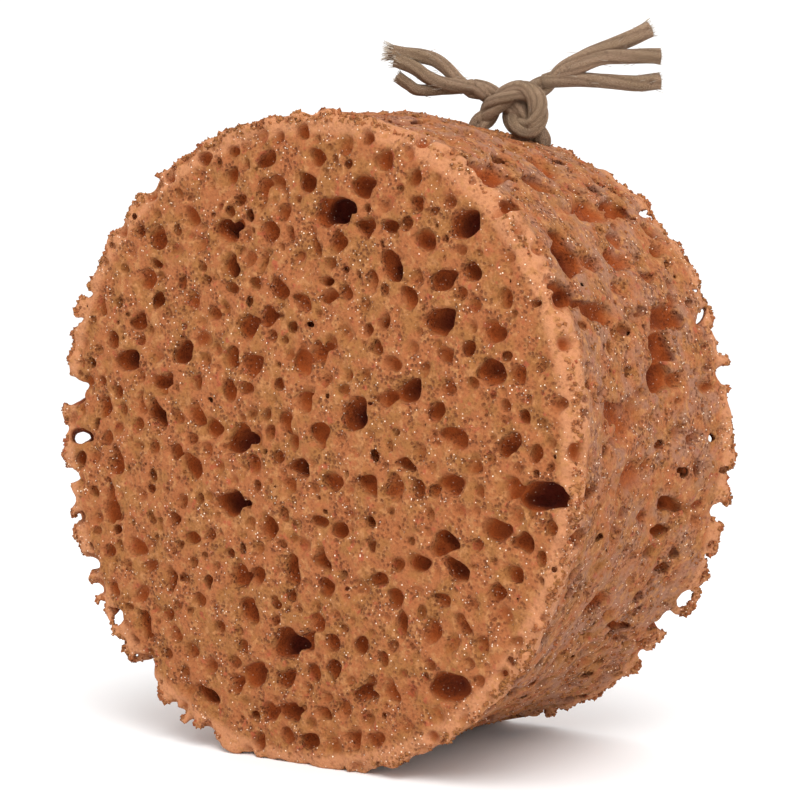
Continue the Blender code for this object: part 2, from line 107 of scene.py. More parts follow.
# Open pores on the front face, read off the photograph: x, height over the axis, half width and
# half height in mm, how deep the pore goes, from 0.8 shallow to 2 deep, where that isn't the usual
# depth, and its tilt in degrees, where it has one.
USUAL_DEPTH = 1.1
FACE_PORES = (
    (9.1, 45.6, 4.5, 2.6, 2, -10), (15.9, 50.7, 3.2, 1.8, 1.2), (-7.7, 56.5, 2.2, 2, 1.2),
    (4.7, 56.4, 2.2, 2, 1), (-19.1, 42.5, 2.9, 2, 1.8), (-15.5, 43.5, 1.1, 0.8, 1.8, 10),
    (-17, 35, 2.5, 2, 2, -40), (-6.6, 42.3, 2, 2.3), (-38, 41, 2.4, 2.2, 0.8), (-38, 35.6, 1.5, 1, 1.6),
    (22.9, 34.7, 2.1, 2.8, 1.8), (39.8, 43.2, 3, 2.7, 1.6), (34.5, 25, 2.9, 2.8, 1.6),
    (30.5, 40, 2, 1.8, 1), (-46.2, 15.7, 3.2, 2.3, 1.7), (-30.3, 17.3, 2.4, 2.6, 1.2),
    (-17.1, 16.8, 2, 2.6), (-42.7, 24.1, 2.2, 1.9), (-35.9, 11.4, 3.4, 2, 1.2), (1.6, 15.7, 1.6, 2.6, 1),
    (27.7, 11.8, 2.6, 2.4, 1.6), (2.3, 9.5, 2, 2.3), (14.5, 5.9, 3.4, 2.8, 1.8), (-37.5, 5, 2.6, 2.1, 1.7),
    (-42.3, 6.8, 1.5, 2.3, 1), (-26.4, 5, 2.2, 2), (-15, 0, 3, 2.5, 1.8), (-52.7, 5.6, 1.9, 2.2),
    (0.9, -4.5, 2.8, 2.1, 1.7), (8.5, -6.8, 2.4, 1.7, 1), (17.5, -7.3, 2, 1.9), (26.8, -2.5, 1.9, 1.6, 1.6),
    (37.7, 2.3, 2.3, 2, 1.2), (50, 2.7, 2.2, 2), (57.7, -6.8, 5, 2.6, 1.5), (-17.5, -12.9, 3.2, 2.8, 1.8),
    (-51.4, -15.9, 2, 3.2, 1.2), (-48.8, -5.9, 1.7, 2.7), (-25.6, -12.5, 1.3, 1.3, 1.7),
    (17.5, -14.7, 1.5, 1.2, 2), (35.5, -16.4, 2.9, 2.3, 1.7), (47.3, -14, 2.6, 2, 1.2),
    (53.2, -15.6, 2, 1.8, 1.6), (38.2, -22, 2.3, 2.4, 1.6), (29, -21.6, 2.5, 2.1), (19.5, -25, 2.4, 1.7, 1),
    (6.6, -22, 1.7, 2.4), (7.3, -27.5, 2.2, 1.5, 1), (-1.8, -25.5, 1.8, 2.8), (-15, -27.3, 2.2, 2.5, 1.2),
    (-17.7, -22.9, 1.9, 1.6, 1), (-27.7, -20.7, 2.1, 1.6), (-43.6, -23.6, 2.2, 1.5),
    (-34, -29.5, 1.5, 2.5, 1.2), (-12.9, -34, 2.2, 2.3, 1.6), (-3.2, -40.2, 3.4, 2.7, 1.7),
    (2.7, -39.5, 2, 2), (8.6, -39, 1.8, 2), (5, -35.5, 2.2, 1.7, 1), (-42, -40, 1.9, 3, 1.2),
    (-35.9, -37.3, 1.4, 1.8), (-11.8, -47.3, 3.4, 2.2, 1.2), (-3.2, -47.7, 2.5, 2),
    (-17.5, -45.5, 1.8, 1.3, 1), (36.8, -44.5, 3.8, 3.2, 0.8), (22.9, -46.8, 2.1, 2.2, 1.2),
    (16.8, -48.2, 3.2, 1.4), (40, -32.7, 1.5, 2.1), (25, -33.6, 1.5, 2.3), (32.7, -34.5, 1.6, 2, 1),
    (-2.3, -53.6, 2.9, 1.6, 1.2), (-7.7, -54.5, 1.6, 2), (-24.5, -52.7, 2.6, 1.8, 1.2),
    (6.4, -53.6, 2.1, 1.5), (14, -57.3, 1.6, 1.6), (19.5, -56.8, 1.6, 1.6), (2.7, -59, 2.3, 1.6),
    (-27.3, -6, 2.3, 2.4), (-7.3, -17.3, 2.3, 2), (5.5, -15, 2.4, 1.2, 1), (46.8, 22.7, 2.7, 1.8),
    (46.4, 15.5, 2.6, 2.4), (36, 18.4, 1.8, 1.5, 1), (41.4, 34, 2, 1.9), (34.5, 32.7, 2.9, 2, 1.2),
    (27.3, 29, 1.6, 2), (33.6, 7.7, 2.1, 1.9), (21.8, 9.5, 2.2, 1.9), (29.5, -6.8, 1.8, 2),
    (23.9, -7.3, 1.8, 2), (37.3, -5.5, 2.2, 2.2), (50.5, -5.5, 1.8, 2.5), (47.7, -25.6, 1.4, 1.8),
    (35, -28.4, 1.8, 1.6), (-4.5, 31, 2, 1.9, 1.3), (-8.6, 35.5, 1.3, 2, 1.2), (7, 32.7, 1.8, 1.2, 1.7),
    (-40.7, 32.7, 1.7, 1.6), (-23.6, 32, 1.2, 1.2, 1.3), (-17.5, 30.5, 1.8, 1.6),
    (-13.2, 23.2, 1.8, 2.8, 1.2, -25), (-7.7, 25.5, 1.6, 2), (17.7, 22.7, 0.9, 1.2, 2),
    (21.8, 24.5, 1.4, 2, 1.2), (18.6, 32.3, 1.2, 2, 1.2), (-27.7, 45.5, 1.8, 1.6), (-17, 53.6, 1.6, 1.6),
    (-9, 50.5, 1.5, 2.2), (-5, 51.8, 1.3, 1.8, 1.1, 40), (2.3, 51.4, 2.4, 2.1, 1.1, -30),
    (10.5, 39.5, 2.4, 1.8, 1), (4.5, 38.6, 1.2, 2.6, 1.4, 30), (16.8, 42.7, 2.3, 1.9, 1),
    (22.7, 43, 2.4, 1.3, 1.2), (29.5, 47.3, 1.5, 1.5), (28.6, 52.3, 1.8, 1.8), (-26.4, 11.8, 1.9, 1.7),
    (-11.8, 15.5, 2.1, 2.2), (-12.7, 11, 1.6, 1.6, 1), (-7.7, 5.5, 1.3, 1.3), (-2.5, 4.4, 1.6, 1.9),
    (5.7, 2.3, 1.9, 2), (-22.3, 2.3, 2.2, 1.8), (12.3, 14.5, 1.4, 1.5), (5.5, 18.6, 1.6, 2.4),
    (-3.2, 45.8, 1.7, 1.6, 1), (1, 28.2, 2.2, 1.8, 0.9), (8.2, 29.5, 1.8, 1.4, 0.9),
    (-60.5, -0.9, 2.7, 1.8, 2), (-63, 8.5, 3.5, 2.2, 2), (-38.6, 51, 3, 1.6, 1.5, 20),
    (-57.6, -28.4, 2.6, 2, 1.5, 30), (-50.5, -38.2, 1.8, 1.3, 2),
)
# Open pores on the rim's wall, read off the photograph: degrees from the top towards +X, place
# along the axis, half width round the rim, half width along the axis, and how deep.
WALL_PORES = (
    (55.5, -16.6, 4.4, 5.8, 1.2), (63, -24, 2, 3.4, 1.4), (65.5, -14, 2.4, 6.6, 0.6),
    (45.8, -30.8, 1.3, 3.2, 1.8), (37, -23.4, 3.5, 5.6, 0.7), (72, -12.3, 1.3, 1.3, 2),
    (72, 7.3, 3, 4.6, 1), (77.5, 5.6, 3, 4.6, 1.2), (55.5, 2.7, 2.5, 4, 0.8), (45, 4, 3, 6, 0.6),
    (84, -9, 4, 9.5, 0.25), (95, -4.6, 3, 6, 0.35), (95.3, -23.4, 1.6, 1.8, 1.7),
    (95.3, -27.2, 1, 1.2, 1.7), (99, -18, 0.7, 1, 1.6), (110, -22.8, 1.4, 1.8, 1.4),
    (114, -21.4, 1, 2, 1.3), (114.5, -17, 1.6, 1.5, 1.3), (95, 14, 1.3, 2.4, 1.4), (101, 11.8, 1.4, 4, 1.3),
    (114, 15.5, 1.6, 1.8, 1.3), (127.5, 10, 1.8, 4.2, 1), (120, -4, 1.8, 5, 0.9), (137.5, -15, 1.5, 6, 0.9),
    (66.5, 12, 3, 6, 0.6), (59, 10.7, 1.5, 3, 1), (44, 16, 3, 5, 0.6), (53, 20.5, 1.5, 2.2, 1.3),
    (106, 10, 1.5, 3, 1.2), (103, 3, 1.2, 2, 1.3), (39.5, -9, 3, 4.2, 0.7), (34, 3, 3, 5, 0.6),
    (89, 17.3, 1.2, 2.2, 0.8),
)
PORE_SINK = 0.30  # a pore's middle lies this share of its width under the surface
PORE_DEPTH = 1.25
WALL_PORE_DEPTH = 0.9
PORE_LEAN = 30  # degrees that a face pore leans, so that one side slopes in gently
LEAN_SPREAD = 14
# Smaller hollows that join a pore's side and make its outline uneven
HOLLOWED = 1.5  # pores of at least this mean half width have them
HOLLOW_OFF = (0.60, 0.95)  # how far out, over the pore's half width
HOLLOW_SIZE = (0.45, 0.72)
HOLLOW_DEPTH = (0.5, 0.8)
HOLLOW_COUNTS = (1, 2, 2)
HOLLOW_APART = (1.6, 4.2)  # from one to the next round the pore, in radians

# Holes and bites that the line of sight passes through: x and height over the axis where it meets
# the front rim's plane (side -1) or the back rim's (side 1), half width, half height, tilt.
SIGHT_HOLES = (
    (-60.6, -1.1, 1.9, 1.6, 0, -1), (-62.4, 8.3, 2.5, 2.5, 0, -1), (-65.8, -7, 1.2, 0.8, 20, -1),
    (-65.2, -12.4, 1.6, 1.3, 0, -1), (-64.9, -16.6, 1.3, 0.9, -15, -1), (-49.6, -39.2, 1.4, 1.9, -30, -1),
    (-44.4, -47.5, 0.7, 0.7, 0, -1), (-40.3, 52.4, 1.8, 1.3, 30, -1), (-54.6, 39.4, 1.5, 1, 40, -1),
    (55.4, 24.6, 0.8, 2.3, -34, 1), (57.1, -0.2, 1.1, 1.2, 0, 1), (62.6, 19.2, 1.8, 2.3, 0, 1),
    (65.6, 7.3, 2, 2.1, 0, 1), (65.4, 11.4, 0.5, 0.5, 0, 1), (54.9, 30.2, 0.55, 0.45, 0, 1),
    (60.6, -14.8, 1.5, 1.7, 0, 1), (54.6, 38.7, 2.2, 2.2, 0, 1),
)
SIGHT_SHIFT = 3.5  # its middle lies this far in from the rim's plane
SIGHT_REACH = 10.0

# Large pores where none was read off: on the back, and on the wall that the photograph doesn't show
BACK_PORES = 150
HIDDEN_WALL_PORES = 62
HIDDEN_WALL = (148, 384)
LARGE_MEAN, LARGE_SPREAD = 2.0, 0.26
LARGE_LEAST, LARGE_MOST = 1.3, 3.8
DEPTHS = (0.9, 1.0, 1.1, 1.2, 1.2, 1.6, 1.8)
WALL_DEPTHS = (0.5, 0.6, 0.8, 0.9, 1.2, 1.4)
LARGE_CLOSE = 1.12
BACK_STRETCH, BACK_TILT = (0.75, 1.1), (-40, 40)
WALL_LENGTH = (1.2, 2.6)  # of a pore along the axis, over its width
WALL_EDGE = 1.5  # the wall's pores stay this far from its rims

# Small pores over the whole surface
PORE_SEED = 5
SMALL_TRIES = 420000
SMALL_MEAN, SMALL_SPREAD = 0.78, 0.42
SMALL_LEAST, SMALL_MOST = 0.5, 1.9
SMALL_CLOSE = 1.28
SMALL_CELL = 7.0  # neighbours are looked for in cells of this size
SMALL_MARGIN = 2
SMALL_OUT, SMALL_IN = 0.15, 0.8  # a middle's place over and under the surface, over its half width
LARGE_SHARE = 0.9  # share of a large pore that small ones keep away from
CLUSTER_SIZE = 9.0  # small pores come in clusters about this far apart
CLUSTER_LEAST = -0.25  # from -1 everywhere to 1 nowhere
RIM_WIDTH = 2  # the wall begins this far from both faces
WALL_SHARE = 0.30  # share of the small pores that the wall keeps,
LIP_SHARE = 0.45  # and the right-hand edge of the front
# the width of the front's right-hand edge band, and how far in from the rims' edges the painted highlight
# reaches
LIP_WIDTH = 5.0
WALL_STRETCH = 1.5

# The twine
TWINE = 4.2
HOLE = 2.3  # the hole's radius, close round the twine
HOLE_STEPS, ROUTE_STEPS = 6, 8  # points between two places of a route
KNOT = Vector((21.6, 17.4, 67.35))
KNOT_TURN = 36.64
BURIED = (
    (11.5, 66.2, 13.6), (11.5, 63, 13.8), (12.1, 59.7, 14.6), (14.1, 57.7, 16.5), (17.2, 57.7, 19.2),
    (19.5, 59.5, 21.4), (20.3, 62.7, 22.3), (20.3, 65.4, 22.4),
)
LEFT_LEG_TO_RIGHT_TAIL = (
    (-7.6, -0.8, -2.2), (-6, 1.4, -0.2), (-3.4, 3.4, 1.5), (-0.4, 4.6, 1.9), (2.4, 2.7, 2),
    (3.1, -0.4, 2.2), (1.7, -3.3, 2), (-0.9, -3.1, 0.6), (-2, -0.6, -1.8), (-0.4, 2.2, -3.2),
    (2.6, 4.6, -2.8), (5.2, 6.6, -1.6), (8.2, 9, -0.6), (12.4, 11.4, 0.2), (16.3, 12.9, 0.6),
    (20.8, 14.6, 0.8), (26.3, 17.2, 0.8),
)
RIGHT_LEG_TO_LEFT_TAIL = (
    (3.3, -4.6, -1.2), (1.8, -1.8, -0.6), (-0.8, 0.6, -0.4), (-3.8, 2.6, -1.6), (-7.1, 4.1, -1.8),
    (-10.7, 5.2, -1.2), (-13.6, 6.8, -0.6), (-15.8, 9, -0.2), (-18.3, 10.7, 0.2), (-21.4, 11.6, 0.4),
    (-24.9, 12, 0.4), (-27.9, 12.4, 0.4),
)

LOOSE_STRANDS = (
    ((6.4, 6.2, -0.8), (11.1, 9, 0.8), (16.3, 11.1, 1.6), (21.6, 11.4, 1.8), (28.3, 11.5, 1.2)),
    ((6, 5.2, -1), (11.1, 6.8, 0.2), (16.3, 6.4, 0.8), (23, 6, 0.8), (28.4, 6.4, 0.6)),
    ((-12.2, 5.2, -0.6), (-16.3, 5.8, 1), (-19.6, 7, 1.6), (-22.6, 9, 1.8), (-26.6, 10.6, 1.4)),
    ((-16.9, 4.8, 0), (-20.8, 4.5, 0.4), (-23.8, 5.7, 0.8), (-26.2, 7.3, 1)),
)
DENTED = 2  # places at the start of each leg that lie in a dent of the foam,
KNOT_UNDERSIDE = slice(5, 9)  # and those under the knot that do
RIGHT_TAIL = (LEFT_LEG_TO_RIGHT_TAIL[-6:], LOOSE_STRANDS[0], LOOSE_STRANDS[1])
LEFT_TAIL = (RIGHT_LEG_TO_LEFT_TAIL[-7:], LOOSE_STRANDS[2], LOOSE_STRANDS[3])
TWINE_SEED = 21
TWINE_PITCH = 17.0  # one turn of the three plies
PLY_RADIUS, PLY_OFFSET = 1.34, 0.88
KNOT_REACH, KNOT_FADE = 6.5, 2  # inside it the twine is pressed flat
KNOT_PRESS, KNOT_SPREAD = 0.30, 0.05
STRAND_STEP = 0.55
RIDGE, RIDGE_TWIST = 0.06, 0.10
FIBRE_STRETCH = 0.06
TUBE_SIDES, HAIR_SIDES = 18, 3
# painted shade in the grooves between the ridges, and how much darker a blunt end's middle is
GROOVE_SHADE, END_SHADE = 0.45, 0.25
END_BULGE = 0.25  # a blunt end's middle stands out this share of its radius

# Its two tails: each strand's width at its end, the fibres at its cut end, how many and how long,
# and the loose hairs, how many, how long and how far they slant
RIGHT_WIDTHS, LEFT_WIDTHS = (3.5, 3.2, 3.4), (3.2, 2.9, 2.3)
RIGHT_BRUSHES = ((60, 1.0), (40, 0.7), (36, 0.7))
LEFT_BRUSHES = ((110, 1.7), (40, 1.2), (30, 0.7))
HAIR = 0.055
STRAND_HAIRS, CORD_HAIRS = (14, 2.4, 0.5), (10, 1.6, 0.4)

# Crumbs of torn foam on the two rims and the wall
CRUMB_COUNT = 5200
CRUMB_LENGTH = (0.35, 1.25)
CRUMB_WIDTH = (0.40, 0.75)  # over its length
CRUMB_DEPTH = 0.7
CRUMB_EDGE = 1.6  # the rims' crumbs grow this near to the edge
CRUMB_WALL_SHARE = 0.06  # and this share of them elsewhere on the wall
CRUMB_CLEAR = 2.5  # no crumb grows this near to the floor

# The photograph's camera: turn from -Y towards +X, height, distance from the disc's middle, lens
VIEW_TURN = 36.64
VIEW_RISE = 4.24
VIEW_DISTANCE = 460
LENS = 98.8
SENSOR = 36
AIM_RIGHT, AIM_UP = 2.1, 7.4

# The studio: the floor's width in m and its grey, and the light from all round
FLOOR_SIZE, FLOOR_GREY, STUDIO_LIGHT = 6, 0.93, 1.12


def waves(lobes, turn):
    """The sum of some waves round the disc at an angle from the top."""
    return sum(height * np.cos(count * (turn - math.radians(crest))) for count, height, crest in lobes)


def rim_radius(turn, across):
    """The rim's radius at an angle from the top, and across, from -1 front to 1 back."""
    front = RADIUS + waves(FRONT_LOBES, turn)
    back = RADIUS - BACK_SMALLER + waves(BACK_LOBES, turn)
    waist = WAIST + waves(WAIST_LOBES, turn)
    return front * (1 - across) / 2 + back * (1 + across) / 2 - waist * (1 - across ** 2)


def edge_round(turn, y):
    """How round the edge between a face and the wall is: more along the front's upper right."""
    share = np.clip(LIP_FALL * np.cos(turn - math.radians(LIP_TURN)) - LIP_LESS, 0, 1)
    return EDGE_ROUND + LIP_ROUND * share * (y < 0)


def disc_distance(x, y, z):
    """Distance to the uncut disc's surface, less than 0 inside."""
    height = z - AXIS_HEIGHT
    reach = np.sqrt(x * x + height * height)
    across = np.clip(2 * y / THICKNESS, -1, 1)
    turn = np.arctan2(x, height)
    edge = edge_round(turn, y)
    past_rim = reach - rim_radius(turn, across) + edge
    crown = FACE_CROWN * (1 - np.minimum(1, reach / RADIUS) ** 2)
    past_face = np.abs(y) - BACK_Y - crown + edge
    outside = np.hypot(np.maximum(past_rim, 0), np.maximum(past_face, 0))
    return np.minimum(np.maximum(past_rim, past_face), 0) + outside - edge


def spline_weights(places, spacing):
    """Weights of the knots of a smooth noise at each place along one axis."""
    t = (places - places[0]) / spacing + 1
    first = np.floor(t).astype(int)
    weights = np.zeros((len(places), first[-1] + 3), np.float32)
    rows = np.arange(len(places))
    part = t - first
    shares = (
        (1 - part) ** 3 / 6,
        (3 * part ** 3 - 6 * part ** 2 + 4) / 6,
        (-3 * part ** 3 + 3 * part ** 2 + 3 * part + 1) / 6,
        part ** 3 / 6,
    )
    for offset, share in enumerate(shares):
        weights[rows, first - 1 + offset] = share
    return weights


def field_noise(axes, spacing, rng):
    """Smooth noise over the whole field, about -1 to 1."""
    weights = [spline_weights(places, spacing) for places in axes]
    knots = rng.uniform(-NOISE_KNOTS, NOISE_KNOTS, [w.shape[1] for w in weights]).astype(np.float32)
    values = np.tensordot(weights[0], knots, (1, 0))
    values = np.tensordot(values, weights[1], (1, 1))
    return np.tensordot(values, weights[2], (1, 1))


def lean(frame, degrees):
    """Turn a pore's depth towards its first axis, so that its other side slopes in gently."""
    a = math.radians(degrees)
    across = frame[0] * math.cos(a) + frame[2] * math.sin(a)
    outward = frame[2] * math.cos(a) - frame[0] * math.sin(a)
    return np.array((across, frame[1], outward))


def face_pore(x, height, half_width, half_height, depth=USUAL_DEPTH, tilt=0, side=-1):
    """A pore in the front face, side -1, or in the back one, side 1."""
    mean = math.sqrt(half_width * half_height)
    y = side * (BACK_Y + FACE_CROWN * (1 - (x * x + height * height) / RADIUS ** 2))
    a = math.radians(tilt)
    frame = np.array(((math.cos(a), 0, math.sin(a)), (-math.sin(a), 0, math.cos(a)), (0, side, 0)))
    center = np.array((x, y, height + AXIS_HEIGHT)) - frame[2] * PORE_SINK * mean
    leaning = (PORE_LEAN + LEAN_SPREAD * math.sin(7 * x + 3 * height)) / max(1, depth)
    return center, lean(frame, leaning), np.array((half_width, half_height, mean * PORE_DEPTH * depth))


def wall_pore(turn, y, half_width, half_length, depth):
    """A pore in the rim's wall."""
    mean = math.sqrt(half_width * half_length)
    a = math.radians(turn)
    outward = np.array((math.sin(a), 0, math.cos(a)))
    radius = rim_radius(a, 2 * y / THICKNESS)
    frame = np.array(((math.cos(a), 0, -math.sin(a)), (0, 1, 0), outward))
    center = outward * (radius - PORE_SINK * mean * depth) + np.array((0, y, AXIS_HEIGHT))
    return center, frame, np.array((half_width, half_length, mean * WALL_PORE_DEPTH * depth))


def direction(turn, rise):
    """The way from the disc's middle at degrees from -Y towards +X, raised by degrees."""
    turn, rise = math.radians(turn), math.radians(rise)
    return math.sin(turn) * math.cos(rise), -math.cos(turn) * math.cos(rise), math.sin(rise)


def sight_axes():
    """The photograph's directions: right, up, and out of the picture."""
    turn = math.radians(VIEW_TURN)
    out = np.array(direction(VIEW_TURN, VIEW_RISE))
    right = np.array((math.cos(turn), math.sin(turn), 0))
    return right, np.cross(out, right), out


def sight_hole(x, height, half_width, half_height, tilt, side):
    """A hole through one rim, along the line of sight."""
    right, up, out = sight_axes()
    a = math.radians(tilt)
    frame = np.array((
        right * math.cos(a) + up * math.sin(a),
        up * math.cos(a) - right * math.sin(a),
        out,
    ))
    center = np.array((x, side * BACK_Y, height + AXIS_HEIGHT)) + side * SIGHT_SHIFT * out
    return center, frame, np.array((half_width, half_height, SIGHT_REACH))


def hollows(pores):
    """Smaller hollows at the sides of the wider pores."""
    rng = random.Random(PORE_SEED)
    found = []
    for center, frame, half in pores:
        if math.sqrt(half[0] * half[1]) < HOLLOWED:
            continue
        turn = rng.uniform(0, 2 * math.pi)
        for _ in range(rng.choice(HOLLOW_COUNTS)):
            off = rng.uniform(*HOLLOW_OFF)
            aside = frame[0] * (half[0] * math.cos(turn)) + frame[1] * (half[1] * math.sin(turn))
            size = half[:2] * rng.uniform(*HOLLOW_SIZE)
            deep = half[2] * rng.uniform(*HOLLOW_DEPTH)
            found.append((center + aside * off, frame, np.array((*size, deep))))
            turn += rng.uniform(*HOLLOW_APART)
    return found


def listed_pores():
    """The pores that were read off the photograph."""
    return [face_pore(*pore) for pore in FACE_PORES] + [wall_pore(*pore) for pore in WALL_PORES]


def scatter(count, draw):
    """Draw that many pores, each clear of those before it."""
    placed = []
    while len(placed) < count:
        pore = draw()
        gaps = (
            np.linalg.norm(pore[0] - other[0]) / (max(pore[2][:2]) + max(other[2][:2]))
            for other in placed
        )
        if all(gap > LARGE_CLOSE for gap in gaps):
            placed.append(pore)
    return placed


def large_pores():
    """Pores like the listed ones on the back and on the hidden part of the wall."""
    rng = random.Random(PORE_SEED)

    def size():
        return min(LARGE_MOST, max(LARGE_LEAST, rng.lognormvariate(math.log(LARGE_MEAN), LARGE_SPREAD)))

    def draw_back():
        width = size()
        reach = (RADIUS - width) * math.sqrt(rng.random())
        turn = rng.uniform(0, 2 * math.pi)
        x, height = reach * math.cos(turn), reach * math.sin(turn)
        stretch = rng.uniform(*BACK_STRETCH)
        tilt = rng.uniform(*BACK_TILT)
        return face_pore(x, height, width, width * stretch, rng.choice(DEPTHS), tilt, 1)

    def draw_wall():
        width = size()
        length = width * rng.uniform(*WALL_LENGTH)
        y = rng.uniform(-1, 1) * (BACK_Y - WALL_EDGE)
        return wall_pore(rng.uniform(*HIDDEN_WALL), y, width, length, rng.choice(WALL_DEPTHS))

    return scatter(BACK_PORES, draw_back) + scatter(HIDDEN_WALL_PORES, draw_wall)


def small_pores(taken):
    """Small pores between the large ones, the widest first, none deep under the surface."""
    rng = np.random.default_rng(PORE_SEED)
    low, high = field_corners(SMALL_MARGIN)
    places = rng.uniform(low, high, (SMALL_TRIES, 3))
    sizes = np.clip(rng.lognormal(math.log(SMALL_MEAN), SMALL_SPREAD, SMALL_TRIES), SMALL_LEAST, SMALL_MOST)
    distance = disc_distance(*places.T)
    x, y, z = places.T / CLUSTER_SIZE * 2 * math.pi
    cluster = (np.sin(x + 1.7 * np.sin(z)) + np.sin(z + 1.9 * np.sin(0.7 * x)) + np.sin(y + x)) / 3
    on_wall = np.abs(places[:, 1]) < BACK_Y - RIM_WIDTH
    reach = np.hypot(places[:, 0], places[:, 2] - AXIS_HEIGHT)
    on_lip = ~on_wall & (places[:, 0] > 0) & (places[:, 1] < 0) & (reach > RADIUS - LIP_WIDTH)
    share = np.where(on_wall, WALL_SHARE, np.where(on_lip, LIP_SHARE, 1))
    near = (distance < SMALL_OUT * sizes) & (distance > -SMALL_IN * sizes) & (cluster > CLUSTER_LEAST)
    near &= rng.random(SMALL_TRIES) < share
    places, sizes = places[near], sizes[near]
    cells = {}

    def cell_of(place):
        return tuple(np.floor(place / SMALL_CELL).astype(int))

    def around(cell):
        for i, j, k in itertools.product((-1, 0, 1), repeat=3):
            yield from cells.get((cell[0] + i, cell[1] + j, cell[2] + k), ())

    for center, _, size in taken:
        cells.setdefault(cell_of(center), []).append((center, min(size[0], size[1]) * LARGE_SHARE))
    pores = []
    for i in np.argsort(-sizes):
        place, size = places[i], sizes[i]
        cell = cell_of(place)
        clear = all(
            np.dot(place - other, place - other) > (SMALL_CLOSE * (size + width)) ** 2
            for other, width in around(cell)
        )
        if clear:
            cells.setdefault(cell, []).append((place, size))
            stretch = WALL_STRETCH if abs(place[1]) < BACK_Y - RIM_WIDTH else 1
            pores.append((place, np.eye(3), np.array((size, size * stretch, size))))
    return pores


def field_corners(margin):
    """The lowest and the highest corner of a box round the disc."""
    low = np.array((-RADIUS, -BACK_Y, 0)) - margin
    return low, np.array((RADIUS, BACK_Y, AXIS_HEIGHT + RADIUS)) + margin


def near_in_field(axes, center, reach):
    """The part of the field round a place, and how far it is from there along each axis."""
    window, offsets = [], []
    for axis, (places, middle) in enumerate(zip(axes, center)):
        start, end = np.searchsorted(places, (middle - reach, middle + reach))
        window.append(slice(start, end))
        shape = [-1 if i == axis else 1 for i in range(3)]
        offsets.append((places[start:end] - middle).reshape(shape))
    return tuple(window), offsets


def carve(field, axes, warp, pore):
    """Take one ellipsoid with a rounded edge and a wandering outline out of the field."""
    center, frame, half = pore
    window, offset = near_in_field(axes, center, half.max() + CARVE_MARGIN)
    if min(s.stop - s.start for s in window) < 2:
        return
    offset = [off + bent[window] for off, bent in zip(offset, warp)]
    near = far = 0
    for row, size in zip(frame, half):
        along = row[0] * offset[0] + row[1] * offset[1] + row[2] * offset[2]
        near = near + (along / size) ** 2
        far = far + (along / size ** 2) ** 2
    near = np.sqrt(near)
    inside = near * (1 - near) / np.maximum(np.sqrt(far), 1e-6)
    outer = field[window]
    rounded = min(PORE_ROUND, PORE_ROUND_SHARE * half.min())
    both = np.maximum(0, 1 - np.abs(outer - inside) / rounded)
    field[window] = np.maximum(outer, inside) + both * both * rounded / 4


def from_axis(point):
    """A place in mm given by degrees from the top, distance from the disc's axis, place along it."""
    turn, reach, y = point
    a = math.radians(turn)
    return Vector((reach * math.sin(a), y, reach * math.cos(a) + AXIS_HEIGHT))


def from_knot(point):
    """A place in mm given in the knot's own plane."""
    right, up, out = point
    a = math.radians(KNOT_TURN)
    across = Vector((math.cos(a), math.sin(a), 0))
    toward = Vector((math.sin(a), -math.cos(a), 0))
    return KNOT + MIDDLE + across * right + Vector((0, 0, up)) + toward * out


def smooth_route(places, steps):
    """Points on a Catmull-Rom curve through the given places."""
    places = [2 * places[0] - places[1], *places, 2 * places[-1] - places[-2]]
    route = []
    for i in range(1, len(places) - 2):
        before, start, end, after = places[i - 1:i + 3]
        for step in range(steps):
            t = step / steps
            route.append(0.5 * (
                2 * start + (end - before) * t
                + (2 * before - 5 * start + 4 * end - after) * t ** 2
                + (3 * start - before - 3 * end + after) * t ** 3
            ))
    return route + [places[-2]]


def carve_hole(field, axes):
    """Take the twine's hole out of the field, and the dents of its legs and its knot."""
    left_leg = [from_knot(point) for point in LEFT_LEG_TO_RIGHT_TAIL[:DENTED]]
    right_leg = [from_knot(point) for point in RIGHT_LEG_TO_LEFT_TAIL[:DENTED]]
    hole = left_leg[::-1] + [from_axis(point) for point in BURIED] + right_leg
    underside = [from_knot(point) for point in LEFT_LEG_TO_RIGHT_TAIL[KNOT_UNDERSIDE]]
    for place in smooth_route(hole, HOLE_STEPS) + smooth_route(underside, HOLE_STEPS):
        window, (x, y, z) = near_in_field(axes, place, HOLE + CARVE_MARGIN)
        inside = HOLE - np.sqrt(x ** 2 + y ** 2 + z ** 2)
        field[window] = np.maximum(field[window], inside)


def foam_field():
    """The foam's distance field and its lowest corner."""
    low, high = field_corners(FIELD_MARGIN)
    axes = [np.arange(a, b, VOXEL).astype(np.float32) for a, b in zip(low, high)]
    x, y, z = np.meshgrid(*axes, indexing="ij", sparse=True)
    field = disc_distance(x, y, z).astype(np.float32)

    rng = np.random.default_rng(PORE_SEED)
    height = z - AXIS_HEIGHT
    rim = rim_radius(np.arctan2(x, height), 2 * np.clip(y / THICKNESS, -0.5, 0.5))
    under_rim = rim - np.sqrt(x * x + height * height)
    near_rim = np.clip(1 - under_rim / RIM_RAGGED_DEPTH, 0, 1).astype(np.float32)
    near_face = np.clip(1 - (BACK_Y - np.abs(y)) / RIM_RAGGED_DEPTH, 0, 1)
    at_rim = near_rim * near_face
    rough = field_noise(axes, ROUGH_SIZE, rng)
    field += RIM_RAGGED * at_rim * rough
    field += WALL_ROUGH * (near_rim - at_rim) * field_noise(axes, WALL_SIZE, rng)
    field -= RIM_PROUD * np.maximum(at_rim, WALL_PROUD * near_rim)
    warp = [sum(far * field_noise(axes, size, rng) for far, size in PORE_WARPS) for _ in range(3)]

    large = listed_pores() + large_pores()
    large += hollows(large) + [sight_hole(*hole) for hole in SIGHT_HOLES]
    for pore in large + small_pores(large):
        carve(field, axes, warp, pore)
    field += CUT_ROUGH * rough + GRAIN_ROUGH * field_noise(axes, GRAIN_SIZE, rng)
    carve_hole(field, axes)
    return np.maximum(field, -z), low


def new_object(name, data):
    """An object with that data, in the scene."""
    made = bpy.data.objects.new(name, data)
    bpy.context.scene.collection.objects.link(made)
    return made


